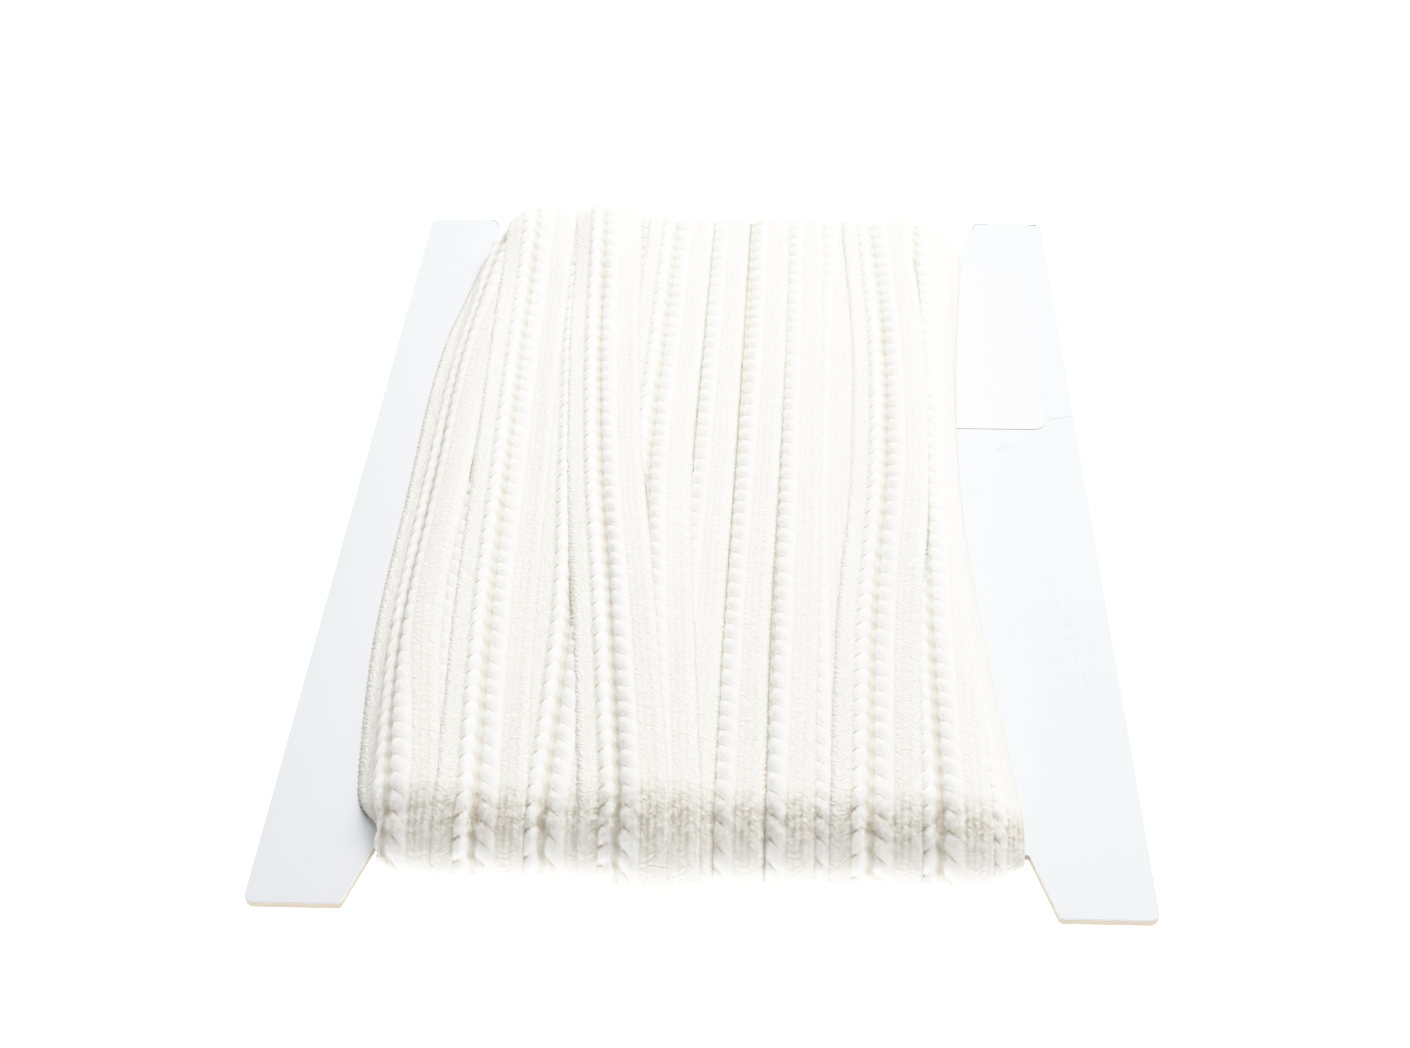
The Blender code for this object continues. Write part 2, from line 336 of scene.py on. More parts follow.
def between(values, y):
    """Reads a table row at each y with a smooth curve through its places."""
    step = TABLE_Y[0] - TABLE_Y[1]
    table = np.array(values)
    padded = np.concatenate(([2 * table[0] - table[1]], table, [2 * table[-1] - table[-2]]))
    place = np.clip((TABLE_Y[0] - y) / step, 0.0, len(values) - 1.0)
    index = np.minimum(place.astype(int), len(values) - 2)
    share = place - index
    before, start, end, after = (padded[index + offset] for offset in range(4))
    slope_in, slope_out = (end - before) / 2, (after - start) / 2
    bend = (3 * (end - start) - 2 * slope_in - slope_out) * share ** 2
    twist = (slope_in + slope_out - 2 * (end - start)) * share ** 3
    return start + slope_in * share + bend + twist


def off_card(points, up):
    """Keeps points that lie over or under the card clear of its faces."""
    kept = points.copy()
    z = points[:, :, 2]
    over_card = np.abs(points[:, :, 1]) < NOTCH_LINE + CARD_CLEAR
    above = over_card & (up > 0.0)
    below = over_card & (up < 0.0)
    kept[:, :, 2] = np.where(above, np.maximum(z, CARD_TOP + CARD_CLEAR), z)
    kept[:, :, 2] = np.where(below, np.minimum(z, CARD_BOTTOM - CARD_CLEAR), kept[:, :, 2])
    return kept


class Loop:
    """The cross-sections round the winding: the top from far to near, the near fold, the underside
    and the far fold. angle is a right angle on top and its negative underneath, and centre is the y
    round which a fold turns, with side telling which fold it is."""

    def __init__(self, top_step, under_step):
        far, near = NOTCH_LINE - ROUND_FAR, ROUND_NEAR - NOTCH_LINE
        top = np.linspace(far, near, int((far - near) / top_step) + 1)
        under = np.linspace(near, far, int((far - near) / under_step) + 1)
        angle, centre, side = [top * 0 + np.pi / 2], [top], [top * 0]
        folds = ((near, -1.0, ROUND_NEAR + BED_REACH_NEAR), (far, 1.0, ROUND_FAR + BED_REACH_FAR))
        for at, which, reach in folds:
            count = int(np.pi / 2 * (reach + BED_OVER) / top_step)
            turned = np.pi * np.arange(1, count) / count
            angle.append(which * (turned - np.pi / 2))
            centre.append(turned * 0 + at)
            side.append(turned * 0 + which)
            if which < 0:
                angle.append(under * 0 - np.pi / 2)
                centre.append(under)
                side.append(under * 0)
        self.angle = np.concatenate(angle)
        self.centre = np.concatenate(centre)
        self.side = np.concatenate(side)
        self.round = np.where(self.side < 0.0, ROUND_NEAR, ROUND_FAR)
        self.reach = np.where(self.side < 0.0, BED_REACH_NEAR, BED_REACH_FAR)
        self.y = self.centre + self.side * np.cos(self.angle) * (self.round + self.reach)
        self.is_upper = self.angle >= 0.0
        self.count = len(self.y)

    def sides(self):
        """The bed's left and right sides at each cross-section."""
        bulge = np.where(self.is_upper, 1.0, UNDER_BULGE)
        ease = smooth_step((NOTCH_LINE - np.abs(self.y)) / NOTCH_EASE)
        left = -NOTCH_SIDE + (between(LEFT_SIDE, self.y) + NOTCH_SIDE) * bulge * ease
        right = NOTCH_SIDE + (between(RIGHT_SIDE, self.y) - NOTCH_SIDE) * bulge * ease
        return left, right

    def groove_x(self, turn):
        """The x of a turn's groove at each cross-section."""
        over = between((turn.far, turn.upper, turn.middle, turn.lower, turn.near), self.y)
        share = (self.y + NOTCH_LINE) / (2 * NOTCH_LINE)
        back = turn.near + (turn.far - turn.near) * smooth_step(share)
        return np.where(self.is_upper, over, back)


class Bed:
    """The smooth surface that the outer turns lie on, as a grid of points with normals."""

    def __init__(self, loop):
        left, right = loop.sides()
        share_across = np.linspace(0.0, 1.0, BED_COLUMNS)
        self.x = left[:, None] + (right - left)[:, None] * share_across[None, :]
        bulge = np.clip((-NOTCH_SIDE - left) / FULL_BULGE, 0.0, 1.0)
        left_run = END_RUN + (LEFT_RUN - END_RUN) * bulge
        foot = END_FOOT + (LEFT_FOOT - END_FOOT) * bulge
        from_left, from_right = self.x - left[:, None], right[:, None] - self.x
        steep = smooth_step(np.clip(from_left / left_run[:, None], 0.0, 1.0) ** foot[:, None])
        rise_left = steep + SHOULDER * (smooth_step(from_left / SHOULDER_RUN) - steep)
        steep = 1.0 - (1.0 - np.clip(from_right / RIGHT_RUN, 0.0, 1.0)) ** RIGHT_ROUNDNESS
        rise_right = steep + SHOULDER * (smooth_step(from_right / SHOULDER_RUN) - steep)
        rise = np.minimum(rise_left, rise_right)
        up = np.sin(loop.angle)[:, None]
        out = (np.cos(loop.angle) * loop.side)[:, None]
        raised = UNDER_RAISE * smooth_step((-loop.y - UNDER_RAISE_FROM) / UNDER_RAISE_RUN)[:, None]
        thick = np.where(up >= 0.0, BED_OVER, BED_UNDER - raised)
        tall = CARD_TOP - CARD_MIDDLE + BED_FOOT + (thick - BED_FOOT) * rise
        away = loop.round[:, None] + BED_REACH_EDGE + (loop.reach[:, None] - BED_REACH_EDGE) * rise
        y = loop.centre[:, None] + out * away
        self.points = off_card(np.stack((self.x, y + 0 * rise, CARD_MIDDLE + tall * up), axis=2), up)
        along = np.roll(self.points, -1, axis=0) - np.roll(self.points, 1, axis=0)
        across = np.gradient(self.points, axis=1)
        normal = np.cross(along, across)
        self.normals = normal / np.linalg.norm(normal, axis=2, keepdims=True)
        steps = np.linalg.norm(np.diff(self.points, axis=1), axis=2)
        self.arc = np.concatenate((np.zeros((loop.count, 1)), np.cumsum(steps, axis=1)), axis=1)

    def arc_at_x(self, x):
        """The distance along each cross-section at which it passes x."""
        return np.array([np.interp(value, self.x[i], self.arc[i]) for i, value in enumerate(x)])

    def read(self, grid, arc):
        """Reads values kept on the bed's grid at distances arc, for every cross-section."""
        return np.array([np.interp(arc[i], self.arc[i], grid[i]) for i in range(len(arc))])

    def place(self, arc):
        """Points and normals at distances arc."""
        points = np.stack([self.read(self.points[:, :, k], arc) for k in range(3)], axis=2)
        normals = np.stack([self.read(self.normals[:, :, k], arc) for k in range(3)], axis=2)
        normals /= np.linalg.norm(normals, axis=2, keepdims=True)
        return points, normals


def blur(values, width, axis, wraps):
    """A soft average of values over about width samples each way."""
    reach = max(1, int(3 * width))
    offsets = np.arange(-reach, reach + 1)
    weights = np.exp(-0.5 * (offsets / width) ** 2)
    weights /= weights.sum()
    mode = "wrap" if wraps else "edge"
    spread = [(0, 0), (0, 0)]
    spread[axis] = (reach, reach)
    wide = np.pad(values, spread, mode=mode)
    total = np.zeros_like(values)
    size = values.shape[axis]
    for offset, weight in zip(range(2 * reach + 1), weights):
        total += weight * np.take(wide, np.arange(offset, offset + size), axis=axis)
    return total


def round_top(value):
    """The height of a half circle, 1 in the middle and 0 at either side."""
    return np.sqrt(np.clip(1.0 - value * value, 0.0, 1.0))


def bump_at(w, middle, width):
    """A soft ridge across the braid."""
    return np.exp(-((w - middle) / width) ** 2)


def relief(w, beads, settings, uneven):
    """Height of the braid's face over its back. w runs across, and beads counts beads along it."""
    turned = 2.0 * np.pi * beads
    ends = smooth_step((np.minimum(w, settings.width - w) + 0.2) / EDGE_ROUND)
    ground = settings.strip_thick * (ends - EDGE_DROOP * (1.0 - ends)) + np.zeros_like(beads)
    ground -= EDGE_SCALLOP * (1.0 - np.abs(np.sin(1.5 * turned))) * np.exp(-w / EDGE_HALF)
    ground += STITCH_SWELL * np.abs(np.sin(np.pi * w / STITCH_COLUMN)) * (w < LEFT_STRIP_END)
    groove = settings.groove + GROOVE_WANDER * np.sin(turned)
    ground -= GROOVE_DEEP * bump_at(w, groove, GROOVE_HALF)
    ground += CORD_LINE_RISE * bump_at(w, CORD_LINE, 0.3)
    ground -= SHADOW_LINE_DEEP * bump_at(w, SHADOW_LINE, 0.25)
    ribs = 0.5 + 0.5 * np.cos(2.0 * np.pi * (w - RIBS_FROM) / RIB_STEP)
    on_ribs = smooth_step((w - SHADOW_LINE) / 0.5) * smooth_step((settings.width - w) / 0.4)
    ground += RIB_RISE * ribs * on_ribs
    lumps = 0.5 + 0.5 * np.cos(turned + 0.7 * np.pi)
    ground += LUMP_RISE * lumps * bump_at(w, LUMPS, 0.4)
    cords = 0.8 * bump_at(w, LEFT_BEADS, 1.0) + bump_at(w, RIGHT_BEADS, 1.7)
    ground += settings.cord_rise * cords

    across = (w - LEFT_BEADS) / LEFT_BEADS_HALF
    phase = beads + LEFT_BEADS_LEAN * (w - LEFT_BEADS) / settings.bead_pitch
    left = round_top(across) ** 1.3 * bead_along(phase, 0.8, across)
    across = (w - RIGHT_BEADS) / RIGHT_BEADS_HALF
    phase = beads + 0.5 - RIGHT_BEADS_LEAN * (w - RIGHT_BEADS) / settings.bead_pitch
    right = round_top(across) ** 1.2 * bead_along(phase, 0.7, across)
    return ground + settings.bead_rise * uneven * (left + RIGHT_BEADS_SHARE * right)


def bead_along(phase, joined, across):
    """The rise of a row of beads along it: notched deep on its left side, and by the share joined
    less on its right side."""
    middle = np.abs(2.0 * (phase % 1.0) - 1.0)
    notch = joined + (1.0 - joined) * smooth_step((0.35 - across) / 1.1)
    return 1.0 - notch * (1.0 - (1.0 - middle ** 3.0) ** 0.8)


def make_mesh(name, points, faces, uv=None, values=None):
    """A smooth mesh object at the origin. points and faces are arrays, uv is given for each face
    corner, and values are named arrays with one number for each point."""
    mesh = bpy.data.meshes.new(name)
    mesh.vertices.add(len(points))
    mesh.vertices.foreach_set("co", (points * MM).astype(np.float32).ravel())
    corners = faces.shape[1]
    mesh.loops.add(faces.size)
    mesh.loops.foreach_set("vertex_index", faces.astype(np.int32).ravel())
    mesh.polygons.add(len(faces))
    mesh.polygons.foreach_set("loop_start", np.arange(0, faces.size, corners, dtype=np.int32))
    mesh.polygons.foreach_set("loop_total", np.full(len(faces), corners, dtype=np.int32))
    if uv is not None:
        layer = mesh.uv_layers.new(name="braid")
        layer.data.foreach_set("uv", uv.astype(np.float32).ravel())
    for key, data in (values or {}).items():
        attribute = mesh.attributes.new(key, "FLOAT", "POINT")
        attribute.data.foreach_set("value", data.astype(np.float32).ravel())
    mesh.update(calc_edges=True)
    mesh.polygons.foreach_set("use_smooth", np.ones(len(faces), dtype=bool))
    mesh.validate()
    piece = bpy.data.objects.new(name, mesh)
    bpy.context.scene.collection.objects.link(piece)
    return piece


def ring_faces(rows, columns):
    """Quads of a grid that closes on itself both ways."""
    row = np.arange(rows)[:, None]
    column = np.arange(columns)[None, :]
    next_row, next_column = (row + 1) % rows, (column + 1) % columns
    corners = (row * columns + column, next_row * columns + column,
               next_row * columns + next_column, row * columns + next_column)
    return np.stack([np.broadcast_to(c, (rows, columns)) for c in corners], axis=2).reshape(-1, 4)


def soft_rest(z):
    """Presses points flat near the surface, none below it."""
    lifted = REST_SOFTNESS * np.exp(np.minimum(z / REST_SOFTNESS - 1.0, 0.0))
    return np.where(z < REST_SOFTNESS, lifted, z)


def squeeze(distance, room):
    """Keeps distances as they are while there is room, and crowds the far ones where there is not."""
    return distance / (1.0 + (distance / room) ** 6) ** (1.0 / 6)


# A turn that has been laid: where its top runs at even places across it, then the place, height
# and bead count of its cross-sections
Laid = namedtuple("Laid", "turn even_arc top arc heights beads beads_all")


def count_beads(line, settings, seed):
    """Counts beads along a closed line, a little unevenly: the count at each point of the line, the
    whole count, and the size of the bead at each point."""
    steps = np.linalg.norm(np.roll(line, -1, axis=0) - line, axis=1)
    length = steps.sum()
    beads_all = round(length / settings.bead_pitch)
    way = np.concatenate(([0.0], np.cumsum(steps)[:-1])) / length
    generator = np.random.default_rng(seed)
    beads = beads_all * way + generator.uniform(0.0, 1.0)
    for waves in (3, 7, 13):
        beads = beads + settings.jitter * np.sin(2 * np.pi * (waves * way + generator.uniform()))
    spread = 1.3 * settings.jitter
    sizes = generator.uniform(1.0 - spread, 1.0 + spread, beads_all + 2)
    uneven = sizes[np.floor(beads).astype(int) % beads_all]
    return beads, beads_all, blur(uneven[:, None], 1.5, 0, True)


def lay_turn(turn, loop, bed, cover, settings, seed):
    """One turn of the braid laid over what is already there."""
    groove_arc = bed.arc_at_x(loop.groove_x(turn))
    total = bed.arc[:, -1]
    left_room = blur((groove_arc - EDGE_CLEAR)[:, None], ROOM_EASE, 0, True)
    right_room = blur((total - EDGE_CLEAR - groove_arc)[:, None], ROOM_EASE, 0, True)
    left_fit = np.minimum(left_room / settings.groove, WIDEST)
    right_fit = np.minimum(right_room / (settings.width - settings.groove), WIDEST)

    def arc_of(w):
        """Where places across the braid lie along the bed, crowded where there is no room."""
        offset = w[None, :] - settings.groove
        left, right = np.maximum(-offset, 0.0), np.maximum(offset, 0.0)
        left = left * left_fit if turn is TURNS[0] else squeeze(left, left_room)
        right = right * right_fit if turn is TURNS[-1] else squeeze(right, right_room)
        return groove_arc[:, None] + right - left

    even = np.linspace(0.0, settings.width, 49)
    from_edge = np.minimum(even, settings.width - even)
    even_arc = arc_of(even)
    below = bed.read(cover, even_arc)
    eased = blur(blur(below, DRAPE_ACROSS, 1, False), DRAPE_ALONG, 0, True)
    lift = np.maximum(eased, blur(below, 1.0, 0, True) - SINK)
    lift = blur(lift, 2.0, 0, True)
    hump = smooth_step((loop.y - HUMP_FROM) / HUMP_RUN) * loop.is_upper
    hump = blur(HUMPS.get(turn.name, 0.0) * hump[:, None], 4.0, 0, True)
    lift += hump * smooth_step(from_edge / HUMP_EASE)

    columns = np.array(COLUMNS + BACK_COLUMNS)
    arc = arc_of(columns)
    points, normals = bed.place(arc)
    rise = settings.strip_thick + lift.mean(axis=1)
    line = points[:, GROOVE_COLUMN] + normals[:, GROOVE_COLUMN] * rise[:, None]
    beads, beads_all, uneven = count_beads(line, settings, seed)

    stroke = np.abs(np.sin(3.0 * np.pi * beads))[:, None] - 0.5
    edges = bump_at(columns, 0.0, EDGE_HALF) - bump_at(columns, settings.width, EDGE_HALF)
    arc += EDGE_WAVE * stroke * edges
    face = len(COLUMNS)
    heights = np.zeros_like(arc)
    heights[:, :face] = relief(columns[None, :face], beads[:, None], settings, uneven)
    heights += np.array([np.interp(columns, even, row) for row in lift])
    cords = bump_at(even, LEFT_BEADS, 1.2) + bump_at(even, RIGHT_BEADS, 1.4)
    thick = settings.strip_thick + 0.35 * cords
    top = lift + thick * smooth_step(from_edge / (EDGE_ROUND - 0.4))
    return Laid(turn, even_arc, top, arc, heights, beads, beads_all)


def press(laid, cover, around, bed):
    """The heights of a turn, pressed flat under the turns over it and filling the gaps beside them."""
    rows = zip(laid.arc, laid.even_arc, laid.top)
    own = np.array([np.interp(arc, even, top) for arc, even, top in rows])
    over = bed.read(cover, laid.arc)
    pressed = np.where(over > own + COVERED, np.minimum(laid.heights, over - COVERED), laid.heights)
    filled = np.maximum(pressed, bed.read(around, laid.arc) - DEEPEST)
    filled[:, len(COLUMNS):] = laid.heights[:, len(COLUMNS):]
    return filled


def add_cover(cover, laid, bed):
    """The height of all that is laid so far, with one more turn on it."""
    grown = cover.copy()
    for i, (arc, top) in enumerate(zip(laid.even_arc, laid.top)):
        inside = (bed.arc[i] > arc[0]) & (bed.arc[i] < arc[-1])
        grown[i, inside] = np.maximum(cover[i, inside], np.interp(bed.arc[i, inside], arc, top))
    return grown


def painted_shade_masks(laid, loop, bed, around):
    """Painted shade for each point, 0 in the open and 1 at its darkest, as two named arrays. The
    crevice mask darkens hollows of the braid's own face, places low beside other turns, the braid's
    edges and its hidden back, and fold is painted shade across the near fold, patchy and deeper in
    the hollows. around is the height of everything, softened."""
    columns = np.array(COLUMNS)
    face = laid.heights[:, :len(columns)]
    soft = blur(blur(face, 1.6, 1, False), 2.2, 0, True)
    # Painted shade in the face's own hollows, in low places beside higher turns and along both edges
    own = np.clip((soft - face) / HOLLOW_DEPTH, 0.0, 1.0)
    low_beside_shade = bed.read(around, laid.arc[:, :len(columns)]) - soft
    low_beside_shade = np.clip((low_beside_shade + 0.1) / BESIDE_DEPTH, 0.0, 1.0)
    edges = bump_at(columns, 0.0, EDGE_HALF) + bump_at(columns, columns[-1], EDGE_HALF)
    painted_shading = HOLLOW_SHADE * own + BESIDE_SHADE * low_beside_shade + EDGE_SHADE * edges

    # Painted shade over the near fold, strongest at one angle, where its front gets less light
    spread = np.exp(-((loop.angle - FOLD_SHADE_AT) / FOLD_SHADE_WIDE) ** 2) * (loop.side < 0.0)
    patchy = np.random.default_rng(len(laid.turn.name)).uniform(0.4, 1.0, face.shape)
    patchy = blur(blur(patchy, 1.0, 1, False), 1.2, 0, True)
    hollow = 0.6 + 0.5 * own + 0.4 * (face < soft)
    painted_fold_shade = FOLD_SHADE * spread[:, None] * (0.1 + patchy) * hollow
    # The hidden back of each turn gets full painted crevice shade
    back = np.ones((len(painted_shading), len(BACK_COLUMNS)))
    return {"crevice": np.concatenate((np.clip(painted_shading, 0.0, 1.0), back), axis=1),
            "fold": np.concatenate((np.clip(painted_fold_shade, 0.0, 1.0), 0.0 * back), axis=1)}


class TRIMMING_OT_bed(bpy.types.Operator):
    """Makes the inner turns, their yarn painted darker as shade, that show only as a dark ground between
    the outer ones
    """
    bl_idname = "trimming.bed"
    bl_label = "Inner turns"

    def execute(self, context):
        loop = Loop(INNER_STEP, INNER_STEP)
        bed = Bed(loop)
        ribs = INNER_RIB * np.cos(2.0 * np.pi * bed.x / INNER_RIB_STEP)
        outer = bed.points - bed.normals * (INNER_DROP - ribs)[:, :, None]
        outer = outer[:, INNER_MARGIN:-INNER_MARGIN:INNER_STRIDE]
        up = np.sin(loop.angle)
        outer = off_card(outer, up[:, None])
        wall = NOTCH_LINE + INNER_CLEAR
        inner_y = np.clip(loop.y, -wall, wall)
        half = CARD_TOP - CARD_MIDDLE + CARD_CLEAR
        inner_z = CARD_MIDDLE + half * np.clip(up * 1.6, -1.0, 1.0)
        ends = [np.stack((outer[:, column, 0], inner_y, inner_z), axis=1)[:, None, :]
                for column in (-1, 0)]
        grid = np.concatenate([outer] + ends, axis=1)
        grid[:, :, 2] = np.maximum(grid[:, :, 2], INNER_CLEAR)
        rows, columns = grid.shape[:2]
        faces = ring_faces(rows, columns)
        piece = make_mesh("braid_inner_turns", grid.reshape(-1, 3), faces)
        piece.data.materials.append(inner_shaded_material(context.scene.trimming_braid))
        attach(piece, "root")
        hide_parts("winding")
        return {"FINISHED"}


class TRIMMING_OT_turns(bpy.types.Operator):
    """Winds the outer turns of the braid, the lowest first"""
    bl_idname = "trimming.turns"
    bl_label = "Outer turns"

    def execute(self, context):
        settings = context.scene.trimming_braid
        material = braid_material(settings)
        loop = Loop(TOP_STEP, UNDER_STEP)
        bed = Bed(loop)
        cover = np.zeros((loop.count, BED_COLUMNS))
        order = sorted(range(len(TURNS)), key=lambda index: (TURNS[index].level, -index))
        all_laid = []
        for index in order:
            laid = lay_turn(TURNS[index], loop, bed, cover, settings, index)
            cover = add_cover(cover, laid, bed)
            all_laid.append(laid)
        around = blur(blur(cover, AROUND_EASE, 1, False), AROUND_EASE, 0, True)
        for laid in all_laid:
            # Painted shade masks of the turn, kept as point attributes of its mesh
            painted_shading = painted_shade_masks(laid, loop, bed, around)
            piece = self.make_turn(laid, press(laid, cover, around, bed), bed, painted_shading, settings)
            piece.data.materials.append(material)
            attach(piece, "root")
            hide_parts("winding")
        return {"FINISHED"}

    def make_turn(self, laid, heights, bed, painted_shading, settings):
        """The closed mesh of one turn, with the place across and the count of beads as its UV map."""
        points, normals = bed.place(laid.arc)
        placed = points + normals * heights[:, :, None]
        placed[:, :, 2] = soft_rest(placed[:, :, 2])
        rows, count = heights.shape
        w = np.broadcast_to(np.array(COLUMNS + BACK_COLUMNS)[None, :], (rows, count))
        t = np.broadcast_to(laid.beads[:, None], (rows, count))
        t_next = np.roll(t, -1, axis=0).copy()
        t_next[-1] += laid.beads_all
        w_next = np.roll(w, -1, axis=1)
        corner_w = np.stack((w, w, w_next, w_next), axis=2).reshape(-1, 4)
        corner_t = np.stack((t, t_next, t_next, t), axis=2).reshape(-1, 4)
        uv = np.stack((corner_w / settings.width, corner_t), axis=2)
        name = "braid_turn_" + laid.turn.name
        return make_mesh(name, placed.reshape(-1, 3), ring_faces(rows, count), uv, painted_shading)


class NodeTree:
    """Adds nodes to a tree with their links, one line each."""

    def __init__(self, tree):
        self.tree = tree

    def node(self, kind, **values):
        node = self.tree.nodes.new(kind)
        for key, value in values.items():
            setattr(node, key, value)
        return node

    def fill(self, socket, value):
        """Links an output to a socket, or sets the socket to a plain value."""
        if isinstance(value, bpy.types.NodeSocket):
            self.tree.links.new(value, socket)
        else:
            socket.default_value = value

    def math(self, operation, *values):
        node = self.node("ShaderNodeMath", operation=operation)
        for socket, value in zip(node.inputs, values):
            self.fill(socket, value)
        return node.outputs[0]

    def vector(self, operation, *values):
        """A vector, or a number for a distance and a dot product."""
        node = self.node("ShaderNodeVectorMath", operation=operation)
        for socket, value in zip(node.inputs, values):
            self.fill(socket, value)
        is_number = operation in ("DISTANCE", "DOT_PRODUCT")
        return node.outputs["Value" if is_number else "Vector"]

    def ramp(self, value, low, high):
        """0 at low and 1 at high, smoothly."""
        node = self.node("ShaderNodeMapRange", interpolation_type="SMOOTHSTEP")
        for key, filling in (("Value", value), ("From Min", low), ("From Max", high)):
            self.fill(node.inputs[key], filling)
        return node.outputs["Result"]

    def fall(self, value, low, high):
        """1 at low and 0 at high, smoothly."""
        return self.math("SUBTRACT", 1.0, self.ramp(value, low, high))

    def noise(self, vector, scale, detail=2.0, flat=False):
        node = self.node("ShaderNodeTexNoise", noise_dimensions="2D" if flat else "3D")
        for key, filling in (("Vector", vector), ("Scale", scale), ("Detail", detail)):
            self.fill(node.inputs[key], filling)
        return node.outputs["Fac"]

    def mix(self, factor, first, second):
        node = self.node("ShaderNodeMix", data_type="RGBA")
        for index, value in ((0, factor), (6, first), (7, second)):
            self.fill(node.inputs[index], value)
        return node.outputs[2]

    def place(self):
        """Where on the object a point lies."""
        return self.node("ShaderNodeTexCoord").outputs["Object"]

    def emboss(self, shader, height, distance, strength=1.0):
        """Gives a shader relief from a height, as deep as distance in metres."""
        bump = self.node("ShaderNodeBump")
        for key, value in (("Strength", strength), ("Distance", distance), ("Height", height)):
            self.fill(bump.inputs[key], value)
        self.fill(shader.inputs["Normal"], bump.outputs[0])


def new_material(name, roughness):
    """A material with a Principled shader and a helper for its nodes."""
    material = bpy.data.materials.new(name)
    material.use_nodes = True
    shader = material.node_tree.nodes["Principled BSDF"]
    shader.inputs["Roughness"].default_value = roughness
    return material, shader, NodeTree(material.node_tree)


def paint(colour, share=1.0):
    """A colour with its alpha, darker by a share."""
    return tuple(share * value for value in colour) + (1.0,)


